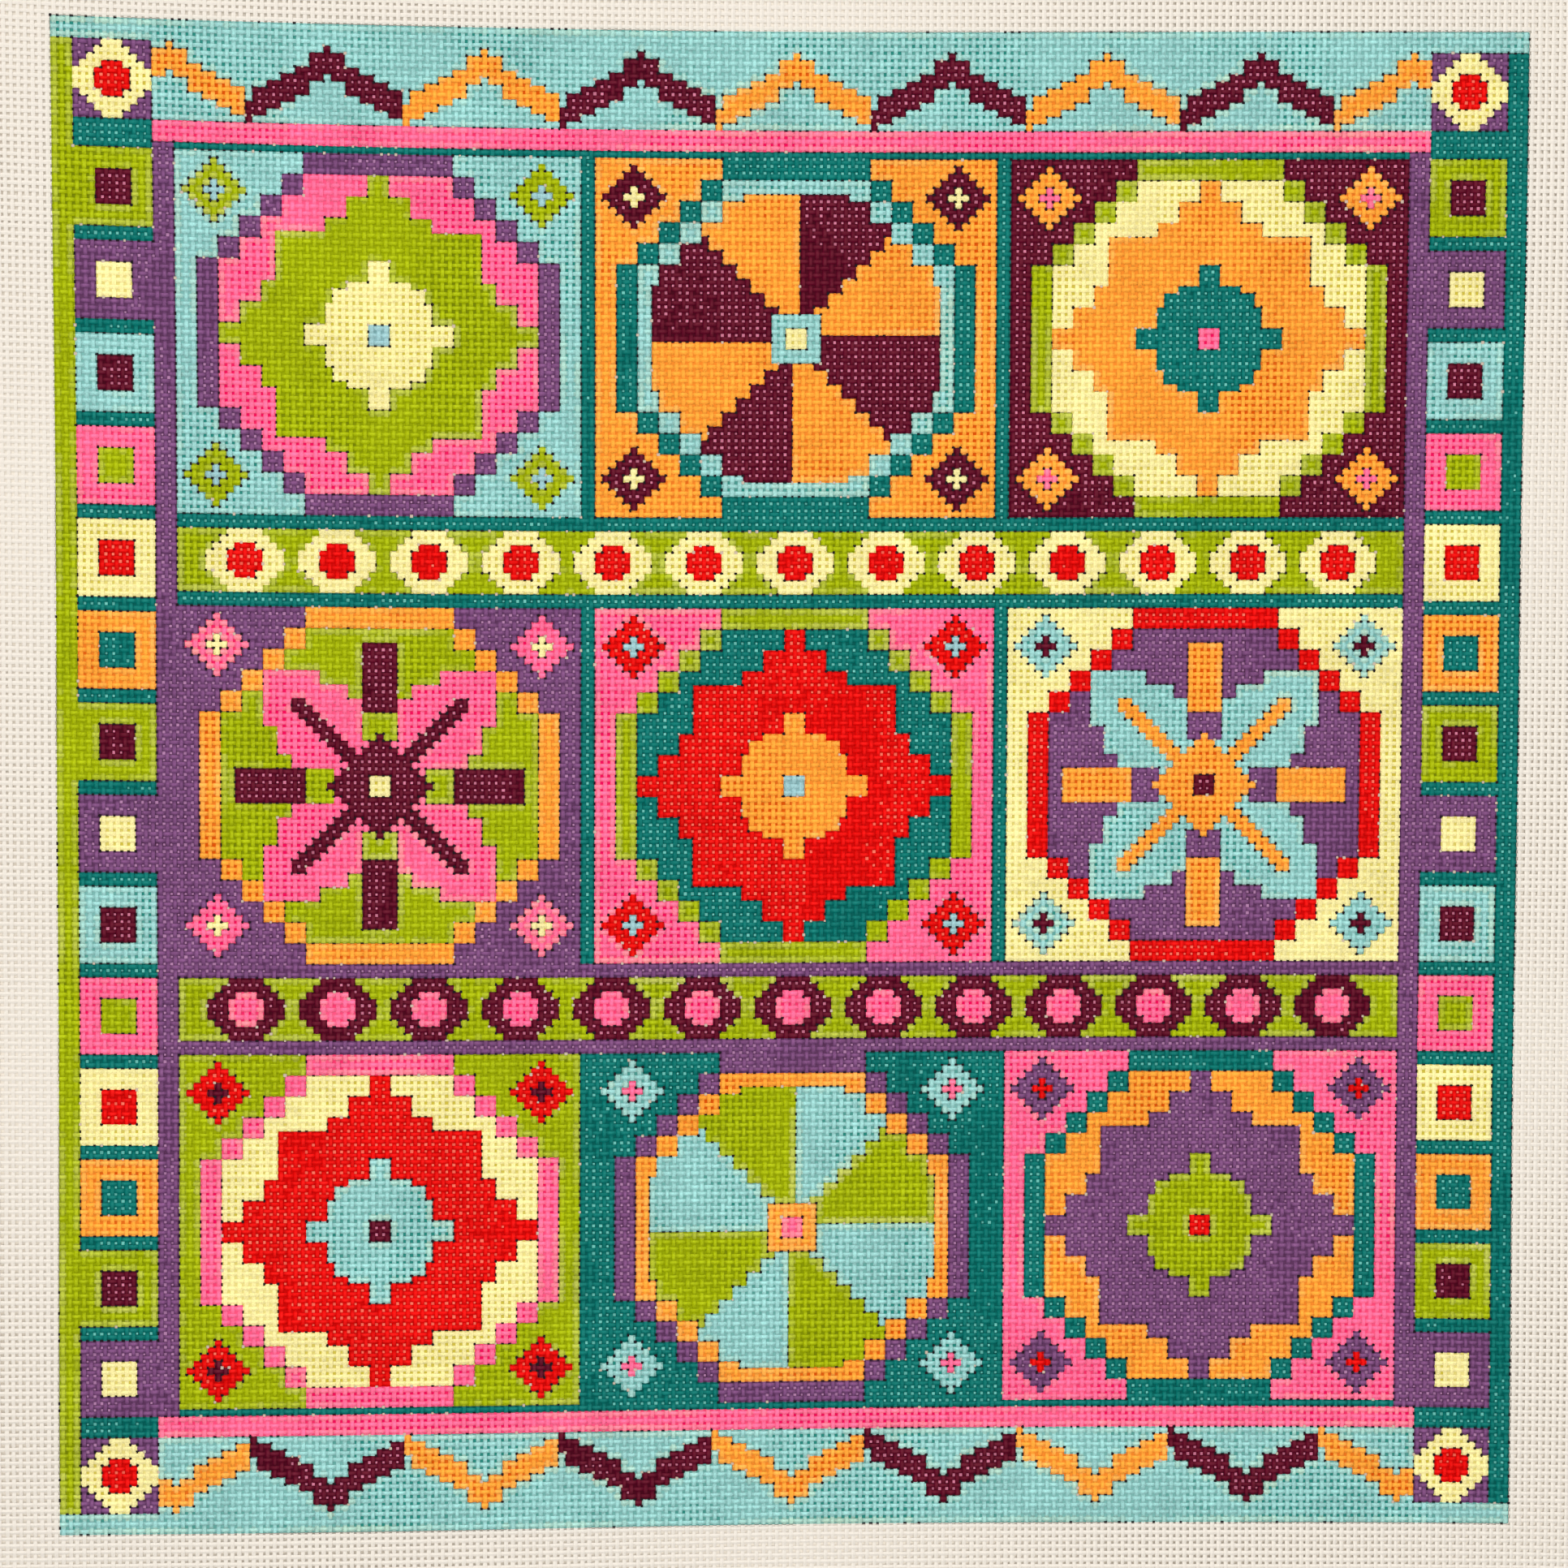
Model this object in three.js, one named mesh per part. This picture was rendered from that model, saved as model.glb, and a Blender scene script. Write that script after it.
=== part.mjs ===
// Needlepoint canvas panel: one cut piece of open-weave canvas with a painted field and a bare margin,
// lying flat. Millimetres, +Z up, with the middle of the underside at the origin's height.
import * as THREE from 'three';
import { mergeVertices } from 'three/addons/utils/BufferGeometryUtils.js';

// The weave sets every size: thirteen threads to the inch, counted across the painted field
const inch = 25.4;
const threadsPerInch = 13;
const pitch = inch / threadsPerInch;
const paintedAcross = 209; // upright threads in the painted field
const paintedUp = 215; // level threads in the painted field
const margin = 16; // bare threads beyond the paint, on each side

// A thread passes over and under its neighbours, so the cloth is about two threads thick
const threadHeight = 0.56;
const crimp = 0.25; // how far a thread's middle rises and dips at a crossing
const clothThickness = threadHeight + 2 * crimp;

// The cloth isn't quite square to its threads: each side of the field is drawn in at its middle
const skew = {
  sidesDrawnIn: -0.54,
  columnsAside: 0.05,
  columnsLean: 0.22,
  endsDrawnIn: -1.78,
  rowsSag: -0.43,
  rowsLean: 1.11,
};

// It lies flat in the middle and at its corners, and its cut edges ripple a little between them
const flatReach = 0.55; // in half fields
const endRipple = { waves: 2, height: 2 };
const sideRipple = { waves: 3, height: 1.5 };

// Cells of the solid, each a few threads wide
const cellsAcross = 24;
const cellsUp = 26;

const fieldHalfWidth = (paintedAcross * pitch) / 2;
const fieldHalfLength = (paintedUp * pitch) / 2;
const cutWidth = (paintedAcross + 2 * margin) * pitch;
const cutLength = (paintedUp + 2 * margin) * pitch;

// Where a point of the square cut lies in the cloth's plane
function drawnPlace(x, y) {
  const u = x / fieldHalfWidth;
  const v = y / fieldHalfLength;
  const inColumn = 1 - v * v;
  const inRow = 1 - u * u;
  const aside = (skew.sidesDrawnIn * u + skew.columnsAside + skew.columnsLean * v) * inColumn;
  const along = (skew.endsDrawnIn * v + skew.rowsSag + skew.rowsLean * u) * inRow;
  return [x + aside, y + along];
}

// How far one pair of cut edges lifts the cloth, where across and along are measured in half fields
function ripple(across, along, reach, halfEdge, { waves, height }) {
  const beyond = Math.max(0, (Math.abs(across) - flatReach) / (reach - flatReach));
  const turn = (waves * Math.PI * (along + halfEdge)) / halfEdge;
  return (height * beyond * beyond * (1 - Math.cos(turn))) / 2;
}

// How far the cloth stands off the surface it lies on
function lift(x, y) {
  const u = x / fieldHalfWidth;
  const v = y / fieldHalfLength;
  const reachAcross = cutWidth / 2 / fieldHalfWidth;
  const reachUp = cutLength / 2 / fieldHalfLength;
  const atEnds = ripple(v, u, reachUp, reachAcross, endRipple);
  const atSides = ripple(u, v, reachAcross, reachUp, sideRipple);
  return atEnds + atSides;
}

function clothSolid() {
  const solid = new THREE.BoxGeometry(cutWidth, cutLength, clothThickness, cellsAcross, cellsUp, 1);
  solid.deleteAttribute('normal');
  solid.deleteAttribute('uv');
  const merged = mergeVertices(solid);
  const points = merged.attributes.position;
  for (let i = 0; i < points.count; i += 1) {
    const x = points.getX(i);
    const y = points.getY(i);
    const [drawnX, drawnY] = drawnPlace(x, y);
    const z = points.getZ(i) + clothThickness / 2 + lift(x, y);
    points.setXYZ(i, drawnX, drawnY, z);
  }
  merged.computeBoundingBox();
  const { min, max } = merged.boundingBox;
  merged.translate(-(min.x + max.x) / 2, -(min.y + max.y) / 2, -min.z);
  merged.computeVertexNormals();
  return merged;
}

const canvasFinish = new THREE.MeshStandardMaterial({ color: 0xede5d9, roughness: 0.85, metalness: 0 });

const canvas = new THREE.Mesh(clothSolid(), canvasFinish);
canvas.name = 'canvas';

const panel = new THREE.Group();
panel.name = 'needlepoint_canvas_panel';
panel.add(canvas);

export default panel;
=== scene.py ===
# Needlepoint canvas: open woven canvas, hand painted over the middle and laid out flat
import math

import bmesh
import bpy
import numpy as np
from mathutils import Euler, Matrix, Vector


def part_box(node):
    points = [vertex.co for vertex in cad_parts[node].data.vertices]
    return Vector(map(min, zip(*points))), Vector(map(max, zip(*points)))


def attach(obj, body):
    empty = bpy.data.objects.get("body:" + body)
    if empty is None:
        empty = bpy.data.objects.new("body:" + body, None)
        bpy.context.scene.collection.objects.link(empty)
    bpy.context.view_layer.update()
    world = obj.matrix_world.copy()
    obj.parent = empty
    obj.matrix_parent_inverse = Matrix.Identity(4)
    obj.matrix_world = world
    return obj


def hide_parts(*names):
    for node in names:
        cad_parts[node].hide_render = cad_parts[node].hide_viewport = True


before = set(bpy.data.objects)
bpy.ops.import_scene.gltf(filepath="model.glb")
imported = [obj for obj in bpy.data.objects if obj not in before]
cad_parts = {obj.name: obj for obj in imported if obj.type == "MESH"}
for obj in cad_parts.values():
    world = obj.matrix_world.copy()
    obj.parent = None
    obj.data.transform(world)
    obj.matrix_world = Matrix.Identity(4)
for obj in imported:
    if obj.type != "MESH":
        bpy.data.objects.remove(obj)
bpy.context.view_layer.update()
clothLow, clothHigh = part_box("canvas")

inch = 0.0254

weave = {
    "pitch": inch / 13,  # from thread to thread
    "across": 209,  # upright threads in the painted field
    "up": 215,  # level threads in the painted field
    "margin": 16,  # bare threads beyond the paint, on each side
    "threadWidth": 0.00112,
    "threadHeight": 0.00056,
    "crimp": 0.00025,  # how far a thread's middle rises and dips at a crossing
    "overWider": 0.02,  # a thread flattens where it passes over, and narrows below
    "strayMost": 0.00009,  # how far a thread wanders sideways
    "strayWaves": (61, 23, 9.3),  # over how many crossings it wanders there and back
    "slubMost": 0.09,  # how much thicker or thinner it gets
    "slubTurns": 1.7,  # how many times as often as it wanders
    "threadSpread": 0.5,  # how unlike each other whole threads are in both
    "cutEnd": 0.5,  # pitches from the last crossing to the cut
    "endGirth": 0.9,  # how thick a thread is at the cut
    "groups": 3,  # pieces that each set of threads is made in
    "seed": 13,
    "groupSeed": 10,  # added for each group
    "weftSeed": 100,
}

# How the cloth is drawn out of square, in metres at the middle of each side of the field
skew = {
    "sidesDrawnIn": -0.00054,
    "columnsAside": 0.00005,
    "columnsLean": 0.00022,
    "endsDrawnIn": -0.00178,
    "rowsSag": -0.00043,
    "rowsLean": 0.00111,
}

ripples = {
    "flatReach": 0.55,  # in half fields
    "endWaves": 2,
    "endHeight": 0.002,
    "sideWaves": 3,
    "sideHeight": 0.0015,
}

pitch = weave["pitch"]
threadSides = 4  # of a thread's section, whose corners count from its right side round by its top
wholeAcross = weave["across"] + 2 * weave["margin"]
wholeUp = weave["up"] + 2 * weave["margin"]
halfField = np.array([weave["across"], weave["up"]]) * pitch / 2
halfCut = np.array([wholeAcross, wholeUp]) * pitch / 2


def drawnPlace(x, y):
    u, v = x / halfField[0], y / halfField[1]
    inColumn, inRow = 1 - v * v, 1 - u * u
    aside = (skew["sidesDrawnIn"] * u + skew["columnsAside"] + skew["columnsLean"] * v) * inColumn
    along = (skew["endsDrawnIn"] * v + skew["rowsSag"] + skew["rowsLean"] * u) * inRow
    return x + aside, y + along


def ripple(across, along, reach, halfEdge, waves, height):
    start = ripples["flatReach"]
    beyond = np.clip((abs(across) - start) / (reach - start), 0, None)
    return height * beyond**2 * (1 - np.cos(waves * math.pi * (along + halfEdge) / halfEdge)) / 2


def liftOff(x, y):
    u, v = x / halfField[0], y / halfField[1]
    reachAcross, reachUp = halfCut / halfField
    atEnds = ripple(v, u, reachUp, reachAcross, ripples["endWaves"], ripples["endHeight"])
    atSides = ripple(u, v, reachAcross, reachUp, ripples["sideWaves"], ripples["sideHeight"])
    return atEnds + atSides


outlinePoints = 49  # along each side


def outlineMiddle():
    steps = np.linspace(-1, 1, outlinePoints)
    across, up = np.meshgrid(steps * halfCut[0], steps * halfCut[1])
    x, y = drawnPlace(across, up)
    return Vector(((x.min() + x.max()) / 2, (y.min() + y.max()) / 2, 0))


clothShift = (clothLow + clothHigh) / 2 - outlineMiddle()
clothShift.z = clothLow.z

view = {
    "place": (-0.0434, 0.0442, 0.9214),  # above the cloth, a little towards its top left corner
    "turn": (-2.747, -2.515, 0.22),  # degrees
    "lens": 76,
    "sensor": 36,
    "nearest": 0.01,
}


def setCamera():
    lens = bpy.data.cameras.new("camera")
    lens.lens = view["lens"]
    lens.sensor_width = view["sensor"]
    lens.clip_start = view["nearest"]
    camera = bpy.data.objects.new("camera", lens)
    bpy.context.scene.collection.objects.link(camera)
    camera.location = Vector(view["place"]) + clothShift
    camera.rotation_euler = Euler([math.radians(angle) for angle in view["turn"]], "XYZ")
    bpy.context.scene.camera = camera


setCamera()
print("camera set")

# Each paint: its colour on the threads; where it pools deep in the holes, pooled paint and painted shade
# at once; the painted light of the pale dots in the holes that a dark paint leaves half open; the share
# of its holes that are pooled or dotted; how far its outermost threads fade; and how strongly its threads
# get painted shade in the grooves and painted highlight and thin worn paint on the crests
paintColumns = ("thread", "poolAndShade", "dot", "share", "fades", "paintedShadeAndWear")
paintRows = {
    "bare": ((233, 228, 221), (0, 0, 0), None, 0.0, 0.0, 0.0),
    "aqua": ((146, 199, 197), (36, 129, 119), None, 0.65, 0.05, 1.0),
    "teal": ((0, 108, 102), (0, 38, 37), (112, 204, 194), 0.78, 0.0, 1.1),
    "lime": ((157, 172, 0), (111, 124, 0), None, 0.62, 0.07, 1.0),
    "pink": ((248, 106, 149), (222, 4, 88), None, 0.85, 0.05, 1.0),
    "orange": ((245, 158, 54), (204, 78, 0), None, 0.65, 0.05, 1.0),
    "red": ((216, 2, 1), (150, 0, 0), (252, 122, 100), 0.7, 0.0, 1.0),
    "plum": ((88, 3, 33), (16, 0, 1), (222, 130, 162), 0.86, 0.0, 1.3),
    "purple": ((110, 66, 112), (38, 1, 20), (184, 132, 178), 0.75, 0.0, 1.6),
    "yellow": ((240, 230, 163), (194, 178, 64), None, 0.85, 0.0, 0.3),
    "smoke": ((150, 192, 198), (100, 146, 150), None, 0.5, 0.0, 0.6),
}
paints = {name: dict(zip(paintColumns, row)) for name, row in paintRows.items()}
paintNumber = {name: number for number, name in enumerate(paints)}


def linearColour(shade):
    parts = np.array(shade) / 255
    return np.where(parts <= 0.04045, parts / 12.92, ((parts + 0.055) / 1.055) ** 2.4)


# The painted field, counted in threads
design = {
    "outerLine": 3,
    "sideBand": 11,
    "innerLine": 3,
    "stair": 3,  # threads in one step of a slope
    "fineStair": 2,
    "medallionGap": 2,
    "ring": 3,
    "ringSlope": 1.5,  # how many times as far in the ring's slopes are set
    "octagon": 1.42,  # the octagon's slope from its middle, in half medallions
    "middleDot": 1,
    "cornerDiamond": 4,  # from its middle to its point
    "rowBand": 13,
    "beads": 13,  # in one row
    "beadStep": 13,  # from one bead to the next
    "bead": (5, 6),  # its reach, and how far its slopes are cut back
    "dot": (2, 3),
    "chevron": 22,
    "chevronStroke": 4,
    "block": 13,  # from one block to the next
    "blocks": 14,  # from one corner to the next
    "blockReach": 5,
    "blockHeart": 2,
    "leafStart": 2,
    "vein": 1,  # half its width
    "bud": 2,  # the same
    "blockPaints": ("lime", "orange", "yellow", "pink", "aqua", "purple"),
    "blockHearts": ("plum", "teal", "red", "lime", "plum", "yellow"),
    "rowBands": (
        {"ground": "lime", "bead": "yellow", "dot": "red", "edge": "teal"},
        {"ground": "lime", "bead": "plum", "dot": "pink", "edge": "purple"},
    ),
}

# Each medallion's shape and paints, from the top row down
medallionColumns = ("shape", "ground", "ring", "fill", "figure", "heart", "dot")
medallionRows = (
    (
        ("star", "aqua", "purple", "pink", "lime", "yellow", "smoke"),
        ("windmill", "orange", "teal", "aqua", "plum", "orange", "yellow"),
        ("star", "plum", "lime", "yellow", "orange", "teal", "pink"),
    ),
    (
        ("leaves", "purple", "orange", "lime", "pink", "plum", "yellow"),
        ("star", "pink", "lime", "teal", "red", "orange", "smoke"),
        ("leaves", "yellow", "red", "purple", "aqua", "orange", "plum"),
    ),
    (
        ("star", "lime", "pink", "yellow", "red", "aqua", "plum"),
        ("windmill", "teal", "purple", "orange", "aqua", "lime", "pink"),
        ("star", "pink", "teal", "orange", "purple", "lime", "red"),
    ),
)


# The figures' sizes, in half medallions
figures = {
    "starReach": 0.58,
    "starSlope": 0.88,
    "starHeartReach": 0.25,
    "starHeartSlope": 0.4,
    "leafLength": 0.58,
    "leafWidth": 0.34,
    "leafRoundness": 0.8,
    "veinLength": 0.5,
    "budFrom": 0.42,
    "budTo": 0.82,
    "leafHeart": 0.3,
    "discReach": 0.8,
    "discSlope": 1.14,
    "hub": 0.12,
}


def stairs(distance, step):
    return step * np.floor(distance / step + 0.5)


def slopeOf(right, up, step):
    return stairs(abs(right), step) + stairs(abs(up), step)


def reachOf(right, up):
    return np.maximum(abs(right), abs(up))


def isSpot(right, up, size):
    reach, slope = size
    return (reachOf(right, up) <= reach) & (slopeOf(right, up, 1) <= slope)


def starFigure(right, up, half):
    slope = slopeOf(right, up, design["stair"]) / half
    reach = reachOf(right, up) / half
    figure = (reach <= figures["starReach"]) | (slope <= figures["starSlope"])
    heart = (reach <= figures["starHeartReach"]) | (slope <= figures["starHeartSlope"])
    return figure, heart


def leafFigure(right, up, half):
    fromUpright = stairs(abs(right), design["fineStair"])
    fromLevel = stairs(abs(up), design["fineStair"])
    along, aside = (fromUpright + fromLevel) / 2, abs(fromUpright - fromLevel)
    share = (along - design["leafStart"]) / (figures["leafLength"] * half)
    roundness = np.sin(math.pi * np.clip(share, 0, 1)) ** figures["leafRoundness"]
    leaf = (aside <= figures["leafWidth"] * half * roundness) & (share > 0) & (share < 1)
    isVein = abs(abs(right) - abs(up)) <= design["vein"]
    vein = isVein & (along < figures["veinLength"] * half)
    reach = reachOf(right, up) / half
    bud = (reach > figures["budFrom"]) & (reach <= figures["budTo"])
    bud = bud & (np.minimum(abs(right), abs(up)) <= design["bud"])
    return leaf, vein | bud | (slopeOf(right, up, 1) <= figures["leafHeart"] * half)


def windmillFigure(right, up, half):
    reach = reachOf(right, up) / half
    slope = slopeOf(right, up, design["stair"]) / half
    sails = (reach <= figures["discReach"]) & (slope <= figures["discSlope"]) & (reach > figures["hub"])
    steep = stairs(abs(up), design["fineStair"]) > stairs(abs(right), design["fineStair"])
    turned = (right * up > 0) == steep
    return sails & turned, sails & ~turned


figureShapes = {"star": starFigure, "leaves": leafFigure, "windmill": windmillFigure}


def drawMedallion(right, up, halfAcross, half, look):
    slope, reach = slopeOf(right, up, design["stair"]), reachOf(right, up)
    picture = np.full(right.shape, paintNumber[look["ground"]])
    edge = design["octagon"] * half
    picture[(reach <= half) & (slope <= edge)] = paintNumber[look["ring"]]
    inner = (reach <= half - design["ring"]) & (slope <= edge - design["ringSlope"] * design["ring"])
    picture[inner] = paintNumber[look["fill"]]
    figure, heart = figureShapes[look["shape"]](right, up, half)
    picture[figure] = paintNumber[look["figure"]]
    picture[heart] = paintNumber[look["heart"]]
    picture[reach <= design["middleDot"]] = paintNumber[look["dot"]]
    inset = design["cornerDiamond"] + 1
    toCorner = slopeOf(abs(right) - halfAcross + inset, abs(up) - half + inset, 1)
    picture[toCorner <= design["cornerDiamond"]] = paintNumber[look["figure"]]
    picture[toCorner <= design["middleDot"]] = paintNumber[look["dot"]]
    return picture


def chevronBand(along, depth):
    period, stroke = design["chevron"], design["chevronStroke"]
    rise = stairs(abs(along % period - period // 2), design["fineStair"])
    rise = rise * (design["sideBand"] - stroke) / (period // 2)
    above = depth - np.round(rise)
    line = np.where((along // period) % 2, paintNumber["plum"], paintNumber["orange"])
    return np.where((above >= 0) & (above < stroke), line, paintNumber["aqua"])


def blockBand(along, depth):
    period = design["block"]
    turn = along % period - period // 2
    number = along // period % len(design["blockPaints"])
    reach = reachOf(turn, depth - design["sideBand"] // 2)
    outer = np.array([paintNumber[name] for name in design["blockPaints"]])[number]
    inner = np.array([paintNumber[name] for name in design["blockHearts"]])[number]
    isBlock = (reach <= design["blockReach"]) & (abs(along) <= period * design["blocks"] // 2)
    block = np.where(reach <= design["blockHeart"], inner, outer)
    return np.where(isBlock, block, paintNumber["teal"])


def beadBand(right, up, look):
    period, half = design["beadStep"], design["rowBand"] // 2
    turn = (right + period // 2) % period - period // 2
    turn[abs(right) > period * design["beads"] // 2] = period  # whole beads only
    picture = np.full(right.shape, paintNumber[look["ground"]])
    picture[isSpot(turn, up, design["bead"])] = paintNumber[look["bead"]]
    picture[isSpot(turn, up, design["dot"])] = paintNumber[look["dot"]]
    picture[abs(up) >= half - 1] = paintNumber[look["edge"]]
    return picture


def drawFrame(right, up, fromSide, fromEnd):
    outer, band, line = design["outerLine"], design["sideBand"], design["innerLine"]
    depth, atSide = np.minimum(fromSide, fromEnd), fromSide < fromEnd
    sidePaint = np.where(right < 0, paintNumber["lime"], paintNumber["teal"])
    picture = np.where(fromEnd < outer, paintNumber["aqua"], sidePaint)
    inBand = (depth >= outer) & (depth < outer + band)
    ends = chevronBand(right + design["chevron"] // 2, depth - outer)
    picture = np.where(inBand, np.where(atSide, blockBand(up, depth - outer), ends), picture)
    corner = (fromSide < outer + band) & (fromEnd < outer + band) & (depth >= outer)
    toMiddle = (fromSide - outer - band // 2, fromEnd - outer - band // 2)
    picture[corner] = paintNumber["purple"]
    picture[corner & isSpot(*toMiddle, design["bead"])] = paintNumber["yellow"]
    picture[corner & isSpot(*toMiddle, design["dot"])] = paintNumber["red"]
    inLine = (depth >= outer + band) & (depth < outer + band + line)
    linePaint = np.where(fromEnd < outer + band + line, paintNumber["pink"], paintNumber["purple"])
    return np.where(inLine, linePaint, picture)


def drawField(right, up):
    inset = design["outerLine"] + design["sideBand"] + design["innerLine"]
    gap, band = design["medallionGap"], design["rowBand"]
    tileAcross = (weave["across"] - 2 * inset - 2 * gap) // len(medallionRows[0])
    tileUp = (weave["up"] - 2 * inset - 2 * band) // len(medallionRows)
    picture = np.full(right.shape, paintNumber["teal"])
    for row, looks in enumerate(medallionRows):
        for column, look in enumerate(looks):
            x = right - (column - 1) * (tileAcross + gap)
            y = up - (1 - row) * (tileUp + band)
            here = (abs(x) <= tileAcross // 2) & (abs(y) <= tileUp // 2)
            named = dict(zip(medallionColumns, look))
            picture[here] = drawMedallion(x, y, tileAcross // 2, tileUp // 2, named)[here]
    for side, look in zip((1, -1), design["rowBands"]):
        y = up - side * (tileUp + band) // 2
        here = abs(y) <= band // 2
        picture[here] = beadBand(right, y, look)[here]
    return picture


def drawChart():
    halfAcross, halfUp = weave["across"] // 2, weave["up"] // 2
    right, up = np.meshgrid(np.arange(-halfAcross, halfAcross + 1), np.arange(-halfUp, halfUp + 1))
    fromSide, fromEnd = halfAcross - abs(right), halfUp - abs(up)
    inset = design["outerLine"] + design["sideBand"] + design["innerLine"]
    border = drawFrame(right, up, fromSide, fromEnd)
    field = np.where(np.minimum(fromSide, fromEnd) < inset, border, drawField(right, up))
    return np.pad(field, weave["margin"], constant_values=paintNumber["bare"])


chart = drawChart()  # one paint number for each crossing, rows from the bottom up
print("design charted over", chart.shape[1], "by", chart.shape[0], "crossings")


# One column of the paints, by paint number
def paintTable(column):
    plain = (0, 0, 0) if column in ("thread", "poolAndShade", "dot") else 0
    return np.array([plain if look[column] is None else look[column] for look in paints.values()], float)


# Soft uneven patches, as a brush leaves them
brush = {"waves": 9, "shortest": 14, "longest": 70, "seed": 5, "skinSeed": 1, "edgeSeed": 3, "penSeed": 4}


def patches(across, up, seed):
    draw = np.random.default_rng(brush["seed"] + seed)
    total = np.zeros(np.shape(across))
    for _ in range(brush["waves"]):
        length = draw.uniform(brush["shortest"], brush["longest"])
        heading, start = draw.uniform(0, 2 * math.pi, 2)
        steps = across * math.cos(heading) + up * math.sin(heading)
        total += np.cos(2 * math.pi * steps / length + start)
    return total / math.sqrt(brush["waves"] / 2)


# Where a paint ends it is thin over the thread
paintEdge = {"bare": (226, 220, 150), "uneven": 1.2, "speckled": 0.5, "fadeMost": 0.8}


# The colour at each crossing, with how strongly its paint takes painted shade, painted highlight and worn
# crests as a fourth part
def crossingColours():
    painted = chart != paintNumber["bare"]
    padded = np.pad(chart, 1, mode="edge")
    neighbours = (padded[:-2, 1:-1], padded[2:, 1:-1], padded[1:-1, :-2], padded[1:-1, 2:])
    atEdge = np.any([chart != neighbour for neighbour in neighbours], axis=0)
    across, up = np.meshgrid(np.arange(chart.shape[1]), np.arange(chart.shape[0]))
    draw = np.random.default_rng(brush["seed"])
    speckle = draw.normal(0, paintEdge["speckled"], chart.shape)
    thin = 1 + paintEdge["uneven"] * (patches(across, up, brush["edgeSeed"]) + speckle)
    fade = atEdge * painted * paintTable("fades")[chart] * thin
    fade = np.clip(fade, 0, paintEdge["fadeMost"])[..., None]
    colours = np.ones(chart.shape + (4,))
    inPaint = linearColour(paintTable("thread"))[chart]
    colours[..., :3] = inPaint + fade * (linearColour(paintEdge["bare"]) - inPaint)
    colours[..., 3] = paintTable("paintedShadeAndWear")[chart]
    return colours


threadColours = crossingColours()


def meshArray(items, field, width, kind=np.float32):
    values = np.empty(len(items) * width, kind)
    items.foreach_get(field, values)
    return values.reshape(-1, width) if width > 1 else values


def addAttribute(mesh, name, kind, domain, field, values):
    layer = mesh.attributes.new(name, kind, domain)
    layer.data.foreach_set(field, np.ascontiguousarray(values, np.float32).ravel())


# One thread, a four-sided tube drawn crossing by crossing, with every crossing at a whole number.
# Across is X, along is Y, and over or under is Z, all in pitches.
def drawThread(crossings, startsOver):
    width, height = weave["threadWidth"] / pitch, weave["threadHeight"] / pitch
    crimp = weave["crimp"] / pitch
    bm = bmesh.new()
    bmesh.ops.create_circle(bm, cap_ends=True, segments=threadSides, radius=0.5)
    bmesh.ops.scale(bm, verts=bm.verts, vec=(width, height, 1))
    upend = Euler((math.pi / 2, 0, 0)).to_matrix()
    bmesh.ops.rotate(bm, verts=bm.verts, cent=(0, 0, 0), matrix=upend)
    bmesh.ops.translate(bm, verts=bm.verts, vec=(0, -weave["cutEnd"], 0))
    end, inside, level = bm.faces[:], [], 0.0
    for step in range(crossings + 1):
        isOver = (step % 2 == 0) == startsOver
        target = (crimp if isOver else -crimp) if step < crossings else 0.0
        length = weave["cutEnd"] if step in (0, crossings) else 1.0
        grown = bmesh.ops.extrude_face_region(bm, geom=end)["geom"]
        if step:
            inside += end  # the extrusion leaves it inside the tube
        end = [item for item in grown if isinstance(item, bmesh.types.BMFace)]
        points = [item for item in grown if isinstance(item, bmesh.types.BMVert)]
        bmesh.ops.translate(bm, verts=points, vec=(0, length, target - level))
        level = target
    bmesh.ops.delete(bm, geom=inside, context="FACES_ONLY")
    bmesh.ops.recalc_face_normals(bm, faces=bm.faces)
    mesh = bpy.data.meshes.new("thread")
    bm.to_mesh(mesh)
    bm.free()
    return mesh


def repeatThread(mesh, count):
    thread = bpy.data.objects.new("thread", mesh)
    bpy.context.scene.collection.objects.link(thread)
    row = thread.modifiers.new("row", "ARRAY")
    row.count = count
    row.use_relative_offset = False
    row.use_constant_offset = True
    row.constant_offset_displace = (2, 0, 0)
    graph = bpy.context.evaluated_depsgraph_get()
    laid = bpy.data.meshes.new_from_object(thread.evaluated_get(graph))
    bpy.data.objects.remove(thread)
    return laid


# Every other thread starts over and the rest start under; together they are one group
def layThreads(count, crossings, firstOver):
    bm = bmesh.new()
    for side, isOver in enumerate((firstOver, not firstOver)):
        laid = repeatThread(drawThread(crossings, isOver), (count + 1 - side) // 2)
        known = len(bm.verts)
        bm.from_mesh(laid)
        bm.verts.ensure_lookup_table()
        bmesh.ops.translate(bm, verts=bm.verts[known:], vec=(side, 0, 0))
    mesh = bpy.data.meshes.new("threads")
    bm.to_mesh(mesh)
    bm.free()
    return mesh


# The flat map: a strip for each thread, with the first crossing at start and its edges inset
strip = {"threads": 84, "crossings": 252, "start": 2, "filled": 0.9, "inset": 0.05}


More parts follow.
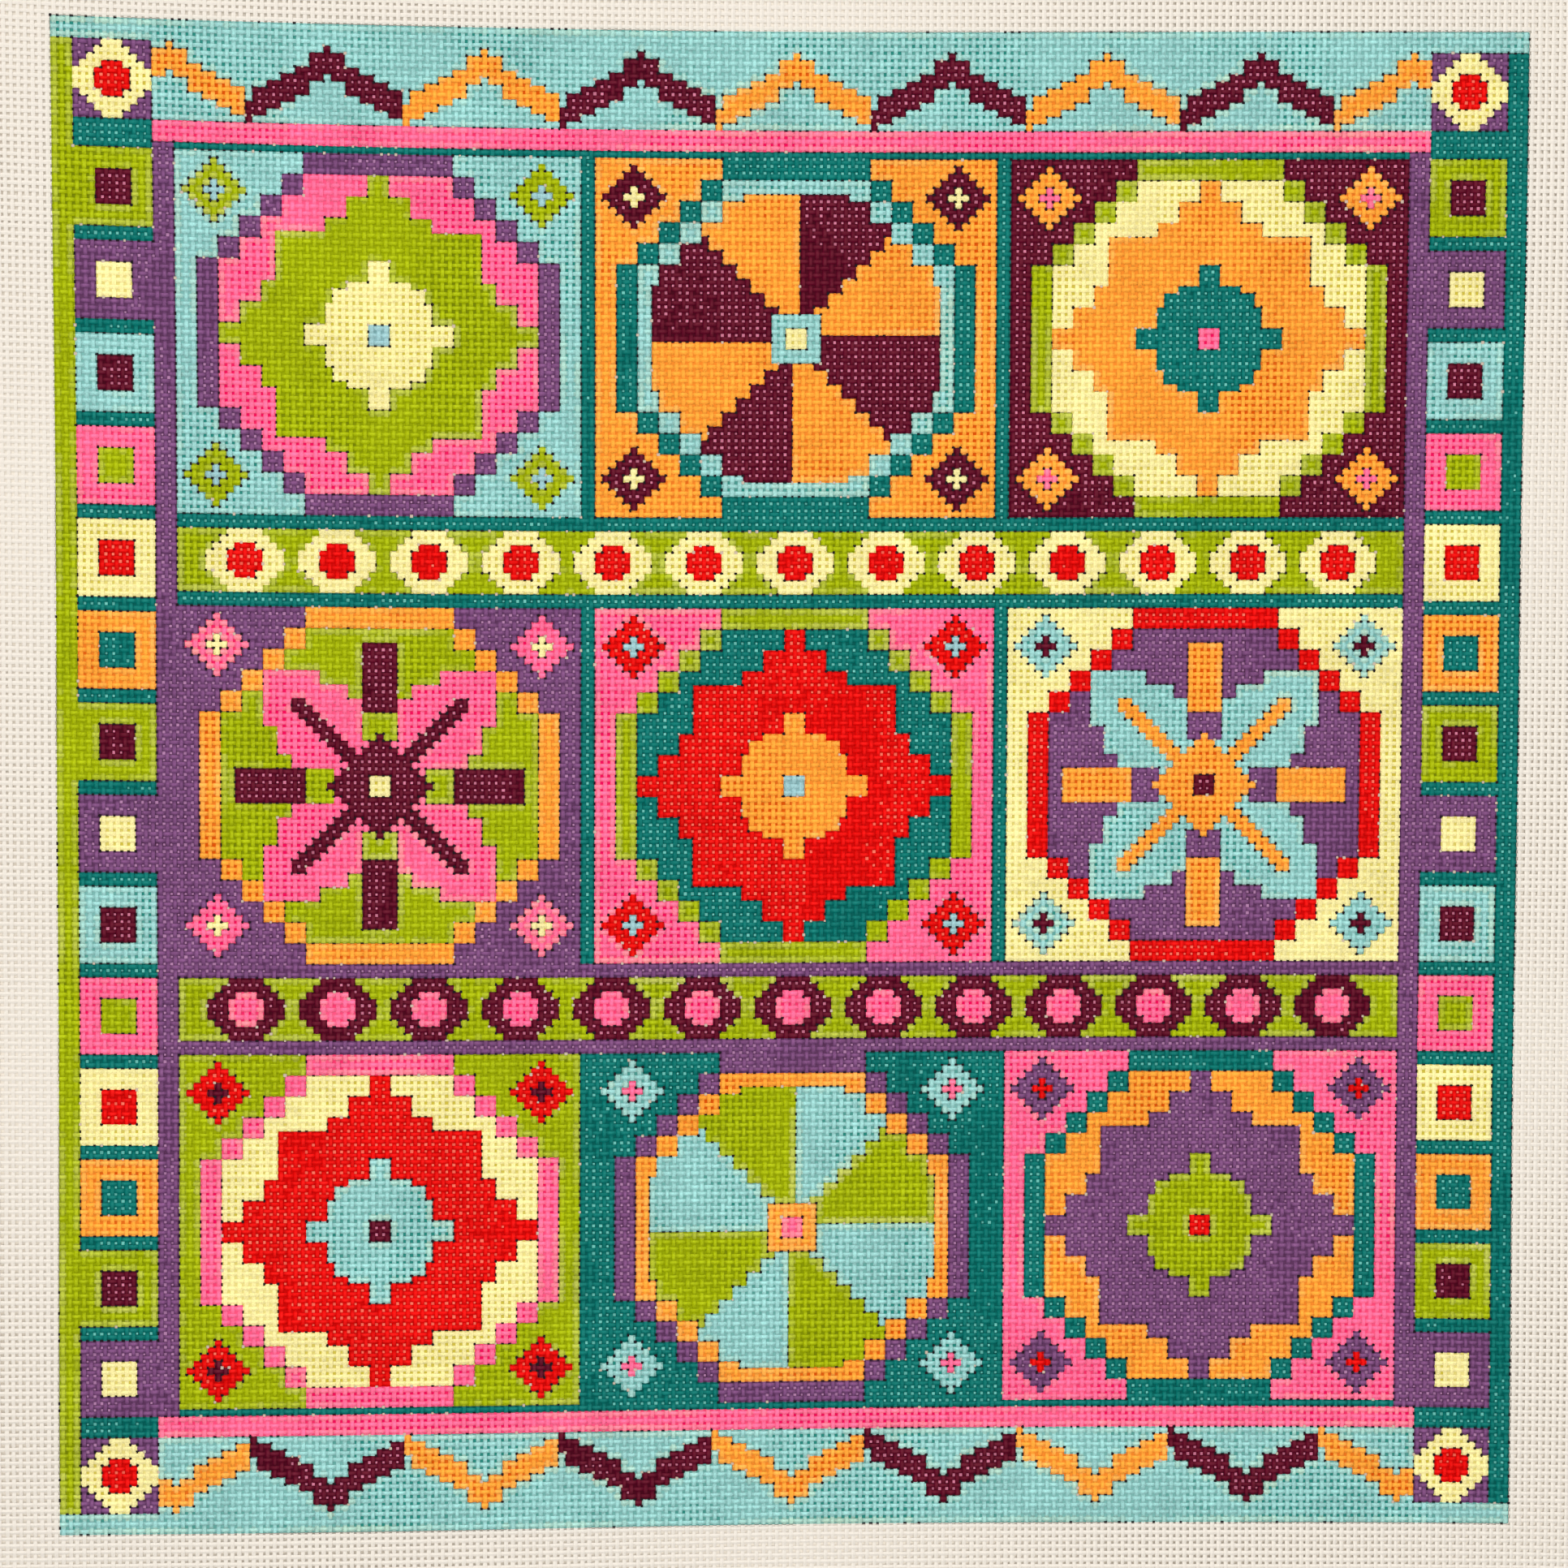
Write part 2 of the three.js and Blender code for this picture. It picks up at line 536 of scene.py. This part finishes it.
def mapThreads(mesh, corners, faceOfLoop, pointOfLoop, threadOfFace, along):
    lastCorner = threadSides - 1
    highest = np.zeros(len(mesh.polygons), int)
    lowest = np.full(len(mesh.polygons), lastCorner)
    np.maximum.at(highest, faceOfLoop, corners[pointOfLoop])
    np.minimum.at(lowest, faceOfLoop, corners[pointOfLoop])
    squares = np.zeros(len(mesh.polygons), int)
    np.add.at(squares, faceOfLoop, corners[pointOfLoop] ** 2)
    isEnd = squares == sum(corner**2 for corner in range(threadSides))  # a cut end has all its corners
    wraps = (highest == lastCorner) & (lowest == 0) & ~isEnd
    around = corners[pointOfLoop] + threadSides * (wraps[faceOfLoop] & (corners[pointOfLoop] == 0))
    outward = np.where(along[pointOfLoop] < 0, -0.5, 0.5)
    longer = outward * (isEnd[faceOfLoop] & (corners[pointOfLoop] % lastCorner > 0))
    u = (along[pointOfLoop] + longer + strip["start"]) / strip["crossings"]
    inStrip = strip["inset"] + strip["filled"] * around / threadSides
    v = (threadOfFace[faceOfLoop] + inStrip) / strip["threads"]
    layer = mesh.uv_layers.new(name="OFBake")
    layer.data.foreach_set("uv", np.stack([u, v], 1).astype(np.float32).ravel())


# Shapes one group of threads into cloth: first is its lowest thread's number in the whole weave
def shapeThreads(mesh, first, upright, seed):
    points = meshArray(mesh.vertices, "co", 3).astype(float)
    thread = np.round(points[:, 0]).astype(int)
    along, offset = points[:, 1].copy(), points[:, 0] - thread
    crimp = weave["crimp"] / pitch
    whole = np.round(along).astype(int)
    crossings = wholeUp if upright else wholeAcross
    isEnd = (along < 0) | (along > crossings - 1)
    level = np.where((whole + thread + first + (0 if upright else 1)) % 2 == 0, crimp, -crimp)
    level[isEnd] = 0
    height = points[:, 2] - level
    flat = abs(offset) > abs(height)
    corners = np.where(flat, np.where(offset > 0, 0, 2), np.where(height > 0, 1, 3))

    draw = np.random.default_rng(weave["seed"] + seed)
    count = thread.max() + 1
    stray, slub = np.zeros(len(points)), np.zeros(len(points))
    for length in weave["strayWaves"]:
        start = draw.uniform(0, 2 * math.pi, (2, count))
        turn = 2 * math.pi * along / length
        stray += np.sin(turn + start[0][thread]) / len(weave["strayWaves"])
        slub += np.sin(weave["slubTurns"] * turn + start[1][thread]) / len(weave["strayWaves"])
    aside = draw.normal(0, weave["threadSpread"], count)[thread]
    fuller = draw.normal(0, weave["threadSpread"], count)[thread]
    isOver = level > 0
    girth = 1 + weave["slubMost"] * (slub + fuller) + np.where(isOver, 1, -1) * weave["overWider"]
    girth[isEnd] *= weave["endGirth"]

    faces = meshArray(mesh.polygons, "center", 3)
    threadOfFace = np.round(faces[:, 0]).astype(int)
    segment = np.floor(faces[:, 1]).astype(int)  # -1 before the first crossing
    before = np.clip(segment, 0, crossings - 1)
    after = np.clip(segment + 1, 0, crossings - 1)
    number = threadOfFace + first
    here = threadColours[before, number] if upright else threadColours[number, before]
    nextOne = threadColours[after, number] if upright else threadColours[number, after]
    addAttribute(mesh, "paintHere", "FLOAT_COLOR", "FACE", "color", here)
    addAttribute(mesh, "paintNext", "FLOAT_COLOR", "FACE", "color", nextOne)
    addAttribute(mesh, "crest", "FLOAT", "POINT", "value", np.where(isOver & ~isEnd, 1.0, 0.0))
    pointOfLoop = meshArray(mesh.loops, "vertex_index", 1, np.int32)
    faceSizes = meshArray(mesh.polygons, "loop_total", 1, np.int32)
    faceOfLoop = np.repeat(np.arange(len(mesh.polygons)), faceSizes)
    mapThreads(mesh, corners, faceOfLoop, pointOfLoop, threadOfFace, along)

    across = (thread + first + offset * girth) * pitch + weave["strayMost"] * (stray + aside)
    length = along * pitch
    halfAcross, halfUp = (wholeAcross - 1) / 2 * pitch, (wholeUp - 1) / 2 * pitch
    right, up = (across, length) if upright else (length, across)
    x, y = right - halfAcross, up - halfUp
    clothMiddle = weave["crimp"] + weave["threadHeight"] / 2
    placed = np.empty_like(points)
    placed[:, 0], placed[:, 1] = drawnPlace(x, y)
    placed[:, 2] = clothMiddle + (level + height * girth) * pitch + liftOff(x, y)
    placed += np.array(clothShift)
    mesh.vertices.foreach_set("co", placed.astype(np.float32).ravel())
    if not upright:
        mesh.flip_normals()  # laying the group on its side mirrors it
    mesh.shade_flat()
    mesh.update()


def addPiece(name, mesh, material):
    mesh.name = name
    piece = bpy.data.objects.new(name, mesh)
    bpy.context.scene.collection.objects.link(piece)
    mesh.materials.clear()
    mesh.materials.append(material)
    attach(piece, "root")
    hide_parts("canvas")
    return piece


class Socket:  # a node's output, with sums that add Math nodes
    def __init__(self, bench, output):
        self.bench, self.output = bench, output

    def sum(self, operation, *parts):
        return self.bench.add("ShaderNodeMath", {"operation": operation}, dict(enumerate(parts)))

    def __add__(self, other):
        return self.sum("ADD", self, other)

    def __sub__(self, other):
        return self.sum("SUBTRACT", self, other)

    def __mul__(self, other):
        return self.sum("MULTIPLY", self, other)

    def __truediv__(self, other):
        return self.sum("DIVIDE", self, other)

    def __rsub__(self, other):
        return self.sum("SUBTRACT", other, self)

    def __gt__(self, other):
        return self.sum("GREATER_THAN", self, other)

    def __lt__(self, other):
        return self.sum("LESS_THAN", self, other)

    __radd__, __rmul__ = __add__, __mul__

    def fract(self):
        return self.sum("FRACT", self)

    def size(self):
        return self.sum("ABSOLUTE", self)

    def most(self, other):
        return self.sum("MAXIMUM", self, other)

    def clamped(self):
        return self.bench.add("ShaderNodeClamp", {}, {"Value": self})

    def outlet(self, name):  # another output of the same node
        return Socket(self.bench, self.output.node.outputs[name])


class Bench:  # a new material and the nodes laid out in it
    def __init__(self, name):
        self.material = bpy.data.materials.new(name)
        self.material.use_nodes = True
        self.tree = self.material.node_tree
        self.tree.nodes.clear()

    def add(self, kind, settings=None, inputs=None, outlet=None):
        node = self.tree.nodes.new(kind)
        for field, value in (settings or {}).items():
            setattr(node, field, value)
        for field, value in (inputs or {}).items():
            if isinstance(value, Socket):
                self.tree.links.new(value.output, node.inputs[field])
            else:
                node.inputs[field].default_value = value
        outputs = [output for output in node.outputs if output.enabled]
        if not outputs:
            return node
        return Socket(self, outputs[0] if outlet is None else node.outputs[outlet])

    def mix(self, factor, first, second, blend="MIX"):
        settings = {"data_type": "RGBA", "blend_type": blend}
        return self.add("ShaderNodeMix", settings, {0: factor, 6: first, 7: second}, 2)

    def choose(self, factor, first, second):  # the same for two numbers
        settings = {"data_type": "FLOAT"}
        return self.add("ShaderNodeMix", settings, {0: factor, 2: first, 3: second}, 0)

    def noise(self, place, kind):
        scale, detail = kind
        inputs = {"Vector": place, "Scale": scale, "Detail": detail}
        return self.add("ShaderNodeTexNoise", {}, inputs, 0)

    def attribute(self, name, outlet="Color"):
        return self.add("ShaderNodeAttribute", {"attribute_name": name}, outlet=outlet)

    def finish(self, inputs):
        surface = self.add("ShaderNodeBsdfPrincipled", {}, inputs)
        self.add("ShaderNodeOutputMaterial", {}, {"Surface": surface})
        return self.material


# Each noise has its scale and its detail
threadLook = {
    "wobble": 0.07,  # how raggedly one paint ends on a thread, in pitches
    "wobbleNoise": (900, 1.0),
    "penWidth": 0.08,  # the drawn line between two paints, in pitches
    "penInk": (0.05, 0.03, 0.02, 1),
    "penStrength": 0.55,
    "penNoise": (26, 1.0),
    "penShare": 0.48,  # a higher share leaves more of the drawn line under the paint
    "penGap": 0.3,  # how unlike two paints must be to have a line between them
    "patchNoise": (46, 4.0),
    "streakDraw": (60, 420, 60),
    "streakNoise": (1.0, 2.0),
    "blotNoise": (380, 2.0),
    "brushMix": (0.5, 0.25, 0.25),  # patches, streaks and blots
    "brushDepth": 0.4,
    "grain": 0.45,  # fine mottling, where the paint sits in the cotton's fibres
    "crestFrom": 0.15,  # the rise over which a thread turns from painted shade to painted highlight
    "crestTo": 0.75,
    "ridgeSpread": 1.6,  # how flat its painted highlight along the middle is
    "ridgeHighlightAndWear": 2.0,  # how strong the painted highlight and the thin worn paint are there
    "grooveShade": 0.74,  # painted shade where a thread dives under
    "crestShade": 0.22,  # how much painted highlight it gets where it passes over
    "ridgeShade": 0.26,  # and how much more painted highlight along the middle of the thread
    "crestThin": 0.01,  # how far the cotton shows through there
    "cotton": (0.9, 0.86, 0.78, 1),
    "cottonShade": (0.70, 0.62, 0.50, 1),
    "cottonStain": 0.3,
    "fibreNoise": (2600, 3.0),
    "fibreDepth": 0.6,
    "plyTurns": 2.0,  # turns of the ply in one pitch
    "plySlant": 2.0,
    "plyDepth": 0.7,
    "reliefHeight": 0.00006,
    "reliefStrength": 0.5,
    "bareRough": 0.9,
    "paintRough": 0.72,
    "fibreRough": 0.16,
    "shine": 0.03,
}


def threadFinish():
    look = threadLook
    bench = Bench("paintedThread")
    place = bench.add("ShaderNodeTexCoord", outlet="Object")
    flatMap = bench.add("ShaderNodeUVMap", {"uv_map": "OFBake"})
    parts = bench.add("ShaderNodeSeparateXYZ", {}, {"Vector": flatMap})
    along = parts * strip["crossings"]
    around = (parts.outlet("Y") * strip["threads"]).fract()
    fibres = bench.noise(place, look["fibreNoise"])
    wobble = (bench.noise(place, look["wobbleNoise"]) - 0.5) * (2 * look["wobble"])
    phase = along.fract()

    here = bench.attribute("paintHere")
    nextOne = bench.attribute("paintNext")
    isSecond = phase + wobble > 0.5
    paint = bench.mix(isSecond, here, nextOne)
    paintedShadeAndWear = bench.choose(isSecond, here.outlet("Alpha"), nextOne.outlet("Alpha"))
    painted = paintedShadeAndWear > 0.0

    patch = bench.noise(place, look["patchNoise"])
    drawnOut = bench.add("ShaderNodeMapping", {}, {"Vector": place, "Scale": look["streakDraw"]})
    blots = bench.noise(place, look["blotNoise"])
    streaks = bench.noise(drawnOut, look["streakNoise"])
    patchShare, streakShare, blotShare = look["brushMix"]
    brush = patch * patchShare + streaks * streakShare + blots * blotShare
    depth = (brush - 0.5) * (2 * look["brushDepth"]) + (fibres - 0.5) * (2 * look["grain"])
    crest = bench.attribute("crest", "Fac")
    ridge = (1.0 - (around * (threadSides / strip["filled"]) - 1.0).size()) * look["ridgeSpread"]
    # Painted shade where the thread dives under, painted highlight where it passes over and along its
    # middle; the same highlight thins the paint there to the cotton
    rise = ((crest - look["crestFrom"]) / (look["crestTo"] - look["crestFrom"])).clamped()
    highlightAndWear = rise * ridge.clamped() * blots * look["ridgeHighlightAndWear"]
    light = rise * look["crestShade"] + highlightAndWear * look["ridgeShade"] + look["grooveShade"]
    toned = bench.mix(1.0, paint, (light - 1.0) * paintedShadeAndWear + 1.0 + depth, "MULTIPLY")
    brushed = bench.mix(highlightAndWear * paintedShadeAndWear * look["crestThin"], toned, look["cotton"])
    bare = bench.mix(fibres * look["cottonStain"], paint, look["cottonShade"])
    coloured = bench.mix(painted, bare, brushed)

    gap = bench.add("ShaderNodeVectorMath", {"operation": "DISTANCE"}, {0: here, 1: nextOne}, "Value")
    penned = (gap > look["penGap"]) * ((phase + wobble - 0.5).size() < look["penWidth"])
    penned = penned * (bench.noise(place, look["penNoise"]) > look["penShare"])
    coloured = bench.mix(penned * look["penStrength"], coloured, look["penInk"])

    ply = ((along * look["plyTurns"] + around * look["plySlant"]).fract() - 0.5).size() * 2.0
    fuzz = {
        "Strength": look["reliefStrength"],
        "Distance": look["reliefHeight"],
        "Height": ply * look["plyDepth"] + fibres * look["fibreDepth"],
    }
    rough = bench.choose(painted, look["bareRough"], look["paintRough"])
    rough = rough + (fibres - 0.5) * look["fibreRough"]
    return bench.finish(
        {
            "Base Color": coloured,
            "Roughness": rough,
            "Normal": bench.add("ShaderNodeBump", {}, fuzz),
            "Specular IOR Level": look["shine"],
        }
    )


def addThreads(material):
    laidPieces = []
    for upright, setName, total, crossings in (
        (True, "warp", wholeAcross, wholeUp),
        (False, "weft", wholeUp, wholeAcross),
    ):
        ends = [round(total * part / weave["groups"]) for part in range(weave["groups"] + 1)]
        for group, (first, last) in enumerate(zip(ends, ends[1:])):
            count = last - first
            mesh = layThreads(count, crossings, (first + (0 if upright else 1)) % 2 == 0)
            seed = weave["groupSeed"] * group + (0 if upright else weave["weftSeed"])
            shapeThreads(mesh, first, upright, seed)
            piece = addPiece(f"{setName}Threads{group + 1}", mesh, material)
            piece["threads"] = count
            laidPieces.append(piece)
            print(piece.name, count, "threads,", len(mesh.polygons), "faces")
    return laidPieces


threads = addThreads(threadFinish())

# The paint that dries as a skin across the holes, a little below the middle of the cloth. Its colours are
# pooled paint and painted shade at once, its pale dots are painted light, and the holes left half open
# between two paints show a painted shaded floor
skin = {
    "holes": 2,  # holes on each side of one face
    "drop": 0.00015,
    "uneven": 0.32,
    "speckled": 0.11,
    "least": 0.4,  # even a closed hole's skin is this much deeper in colour, pooled paint and painted shade
    "paleFrom": 0.5,  # share above which a dark paint's hole gets a painted pale dot of light
    "filmDepth": 0.68,  # how much deeper the skin is beside the threads, pooled paint and painted shade
    "dotLeast": 0.13,  # half the width of a painted pale dot of light in a dark paint, in pitches
    "dotMost": 0.25,
    "dotOpacity": 0.86,  # how opaque a painted dot is over its half-open hole
    "dotFaint": 0.5,  # how much of the plain paint's colour the faintest dots keep
    "openBetween": 0.18,  # share of the holes between two paints that stay half open
    # painted colour of the shaded floor seen through those holes
    "shadedFloorDot": (206, 188, 172),
    "penWidth": 0.12,
    "penShare": 0.62,  # share of the drawn line's holes that still show it
    "penShareOutside": 0.42,  # the same where a dark paint meets the bare cloth
    "penSharePale": 0.02,  # and where a pale one does
    "penUneven": 0.25,
    "penInk": (0.012, 0.008, 0.012, 1),
    "wobble": 0.05,
    "wobbleNoise": (800, 1.0),
    "turns": (0.25, 0.75),  # where a face passes from one crossing's paint to the next
    "barest": 0.001,  # a film as dark as this is none
    "rough": 0.6,
    "shine": 0.03,
}


# What each hole shows, as a colour and a mark: 2 for a pool that fills it, in pooled paint and painted
# shade, from 0 to 1 for half the width of a painted pale dot of light, or a drawn line, where -1 is
# upright, -2 is level and -3 is both
def holeColours():
    across, up = np.meshgrid(np.arange(weave["across"] + 1), np.arange(weave["up"] + 1))
    edge = weave["margin"] - 1
    around = [chart[edge + up + j, edge + across + i] for j in (0, 1) for i in (0, 1)]
    upright = (around[0] != around[1]) | (around[2] != around[3])
    level = (around[0] != around[2]) | (around[1] != around[3])
    isBetween = upright | level
    isOutside = np.min(around, axis=0) == paintNumber["bare"]
    paint = np.max(around, axis=0)

    draw = np.random.default_rng(weave["seed"])
    isDark = paintTable("dot").sum(1)[paint] > 0
    outside = np.where(isDark, skin["penShareOutside"], skin["penSharePale"])
    kept = np.where(isOutside, outside, skin["penShare"])
    kept = kept + skin["penUneven"] * patches(across, up, brush["penSeed"])
    isDrawn = isBetween & (draw.random(across.shape) < kept)
    isOpen = isBetween & ~isOutside & (draw.random(across.shape) < skin["openBetween"])
    spread = skin["uneven"] * patches(across, up, brush["skinSeed"])
    spread = spread + draw.normal(0, skin["speckled"], across.shape)
    share = np.clip(paintTable("share")[paint] + spread, skin["least"], 1)
    isPale = isDark & (share > skin["paleFrom"])
    dot = skin["dotLeast"] + (skin["dotMost"] - skin["dotLeast"]) * draw.random(across.shape)

    shades = (linearColour(paintTable(column))[paint] for column in ("thread", "poolAndShade", "dot"))
    onThread, poolAndShade, pale = shades
    faint = skin["dotFaint"] * draw.random(across.shape)[..., None]
    # Painted light in the pale dots of dark paints; painted shade with the pooled paint everywhere else
    dotColour = pale + faint * (onThread - pale)
    shown = np.where(isPale[..., None], dotColour, onThread + share[..., None] * (poolAndShade - onThread))
    # Painted colour of the shaded floor in the holes left half open between two paints
    shown[isOpen] = linearColour(skin["shadedFloorDot"])
    mark = np.where(isPale, dot, 2)
    mark = np.where(isBetween, np.where(isOpen, dot, 0), mark)
    mark = np.where(isDrawn, -(upright + 2.0 * level), mark)
    return np.concatenate([shown, mark[..., None]], axis=2)


# The paint of the nearest of three crossings
def nearestPaint(bench, way, low, middle, high):
    first, second = skin["turns"]
    return bench.mix(way > second, bench.mix(way > first, low, middle), high)


def skinFinish():
    bench = Bench("paintSkinAndShade")
    place = bench.add("ShaderNodeTexCoord", outlet="Object")
    flatMap = bench.add("ShaderNodeUVMap", {"uv_map": "OFBake"})
    parts = bench.add("ShaderNodeSeparateXYZ", {}, {"Vector": flatMap})
    wobble = (bench.noise(place, skin["wobbleNoise"]) - 0.5) * skin["wobble"]
    inRight = (parts * ((weave["across"] + 1) / skin["holes"])).fract()
    inUp = (parts.outlet("Y") * ((weave["up"] + 1) / skin["holes"])).fract()
    nearRight, nearUp = inRight + wobble, inUp - wobble

    # each face has three crossings by three
    sides = range(skin["holes"] + 1)
    crossings = [[bench.attribute(f"crossing{i}{j}") for i in sides] for j in sides]
    rows = (nearestPaint(bench, nearRight, *row) for row in crossings)
    film = nearestPaint(bench, nearUp, *rows)

    # and two holes by two
    sides = range(skin["holes"])
    isRight, isHigh = inRight > 0.5, inUp > 0.5
    holes = [[bench.attribute(f"hole{i}{j}") for i in sides] for j in sides]
    shown = bench.mix(isHigh, *(bench.mix(isRight, *pair) for pair in holes))
    marks = (bench.choose(isRight, *(hole.outlet("Alpha") for hole in pair)) for pair in holes)
    mark = bench.choose(isHigh, *marks)

    right = ((nearRight * skin["holes"]).fract() - 0.5).size()
    up = ((nearUp * skin["holes"]).fract() - 0.5).size()
    isPool, isLine, isLevel = mark > 1.0, mark < -0.5, mark < -1.5  # each halfway between two marks
    isUpright = isLine * (mark > -1.5) + (mark < -2.5)
    isDot = (right.most(up) < mark) * (1.0 - isPool)
    penned = isUpright * (right < skin["penWidth"]) + isLevel * (up < skin["penWidth"]) > 0.5
    # Pools take their colour, pooled paint and painted shade; dots take painted light
    coloured = bench.mix(isPool + isDot, film, shown)
    coloured = bench.mix(penned, coloured, skin["penInk"])
    strength = bench.add("ShaderNodeVectorMath", {"operation": "LENGTH"}, {0: film}, "Value")
    isSkin = (strength > skin["barest"]).most(penned)  # beside bare cloth there is none
    return bench.finish(
        {
            "Base Color": coloured,
            "Alpha": isSkin * (1.0 - isDot * (1.0 - skin["dotOpacity"])),
            "Roughness": skin["rough"],
            "Specular IOR Level": skin["shine"],
        }
    )


def addSkin():
    holesAcross, holesUp = weave["across"] + 1, weave["up"] + 1
    cellsAcross, cellsUp = holesAcross // skin["holes"], holesUp // skin["holes"]
    bm = bmesh.new()
    bmesh.ops.create_grid(bm, x_segments=cellsAcross, y_segments=cellsUp, size=0.5)
    mesh = bpy.data.meshes.new("paintSkinAndShade")
    bm.to_mesh(mesh)
    bm.free()
    points = meshArray(mesh.vertices, "co", 3).astype(float) + 0.5  # 0 to 1 across the grid
    faces = meshArray(mesh.polygons, "center", 3) + 0.5
    column = (faces[:, 0] * cellsAcross).astype(int) * skin["holes"]
    row = (faces[:, 1] * cellsUp).astype(int) * skin["holes"]
    holes = holeColours()
    # The skin's own colour is deeper than the thread's: pooled paint and painted shade
    films = np.ones((len(paints), 4))
    onThread, poolAndShade = linearColour(paintTable("thread")), linearColour(paintTable("poolAndShade"))
    films[:, :3] = onThread + skin["filmDepth"] * (poolAndShade - onThread)
    films[paintNumber["bare"], :3] = 0
    edge = weave["margin"] - 1
    for i in range(skin["holes"] + 1):
        for j in range(skin["holes"] + 1):
            found = films[chart[edge + row + j, edge + column + i]]
            addAttribute(mesh, f"crossing{i}{j}", "FLOAT_COLOR", "FACE", "color", found)
            if i < skin["holes"] and j < skin["holes"]:
                found = holes[row + j, column + i]
                addAttribute(mesh, f"hole{i}{j}", "FLOAT_COLOR", "FACE", "color", found)
    pointOfLoop = meshArray(mesh.loops, "vertex_index", 1, np.int32)
    layer = mesh.uv_layers.new(name="OFBake")
    layer.data.foreach_set("uv", points[pointOfLoop, :2].astype(np.float32).ravel())
    x = (points[:, 0] - 0.5) * holesAcross * pitch
    y = (points[:, 1] - 0.5) * holesUp * pitch
    placed = np.empty_like(points)
    placed[:, 0], placed[:, 1] = drawnPlace(x, y)
    placed[:, 2] = weave["crimp"] + weave["threadHeight"] / 2 - skin["drop"] + liftOff(x, y)
    placed += np.array(clothShift)
    mesh.vertices.foreach_set("co", placed.astype(np.float32).ravel())
    mesh.shade_smooth()
    mesh.update()
    return addPiece("paintSkinAndShade", mesh, skinFinish())


paintSkinAndShade = addSkin()
print("paint skin", len(paintSkinAndShade.data.polygons), "faces")

room = {
    "floorSize": 12.0,
    "floorCells": 8,
    "floorDrop": 0.0001,
    "floorShade": (0.92, 0.86, 0.77, 1),
    "floorPatch": (0.82, 0.77, 0.70, 1),
    "patchDepth": 0.12,
    "patchNoise": (5.0, 3.0),
    "rough": 0.8,
}


def addFloor():
    bm = bmesh.new()
    cells = room["floorCells"]
    bmesh.ops.create_grid(bm, x_segments=cells, y_segments=cells, size=room["floorSize"] / 2)
    bmesh.ops.translate(bm, verts=bm.verts, vec=(0, 0, -room["floorDrop"]))
    mesh = bpy.data.meshes.new("floor")
    bm.to_mesh(mesh)
    bm.free()
    floor = bpy.data.objects.new("floor", mesh)
    bpy.context.scene.collection.objects.link(floor)
    bench = Bench("paleFloor")
    place = bench.add("ShaderNodeTexCoord", outlet="Object")
    patch = bench.noise(place, room["patchNoise"]) * room["patchDepth"]
    shade = bench.mix(patch, room["floorShade"], room["floorPatch"])
    mesh.materials.append(bench.finish({"Base Color": shade, "Roughness": room["rough"]}))
    return floor


# Works out each group of threads' length and width, and keeps neither
def addSheets(pieces):
    for piece in pieces:
        isWarp = piece.name.startswith("warp")
        length = (wholeUp if isWarp else wholeAcross) * pitch
        side = piece["threads"] * pitch
        piece["threads"] * weave["threadWidth"] * length


floor = addFloor()
addSheets(threads)
print("laid on the floor")

# Power in watts, and each light turns towards the cloth's middle
lights = {
    "overhead": {"place": (0.1, 0.1, 1.9), "size": 1.3, "power": 31, "tint": (1.0, 0.98, 0.95)},
    "key": {"place": (-1.1, 1.0, 1.3), "size": 1.2, "power": 10.5, "tint": (1.0, 0.97, 0.93)},
}
sky = {"tint": (1.0, 0.99, 0.97, 1), "strength": 0.3}


def addLights():
    for name, light in lights.items():
        lamp = bpy.data.lights.new(name, "AREA")
        lamp.size, lamp.energy, lamp.color = light["size"], light["power"], light["tint"]
        stand = bpy.data.objects.new(name, lamp)
        bpy.context.scene.collection.objects.link(stand)
        stand.location = light["place"]
        stand.rotation_euler = (-Vector(light["place"])).to_track_quat("-Z", "Y").to_euler()
    world = bpy.data.worlds.new("studio")
    world.use_nodes = True
    background = world.node_tree.nodes["Background"]
    background.inputs["Color"].default_value = sky["tint"]
    background.inputs["Strength"].default_value = sky["strength"]
    bpy.context.scene.world = world
    bpy.context.scene.view_settings.view_transform = "Standard"


addLights()
print("lights set")
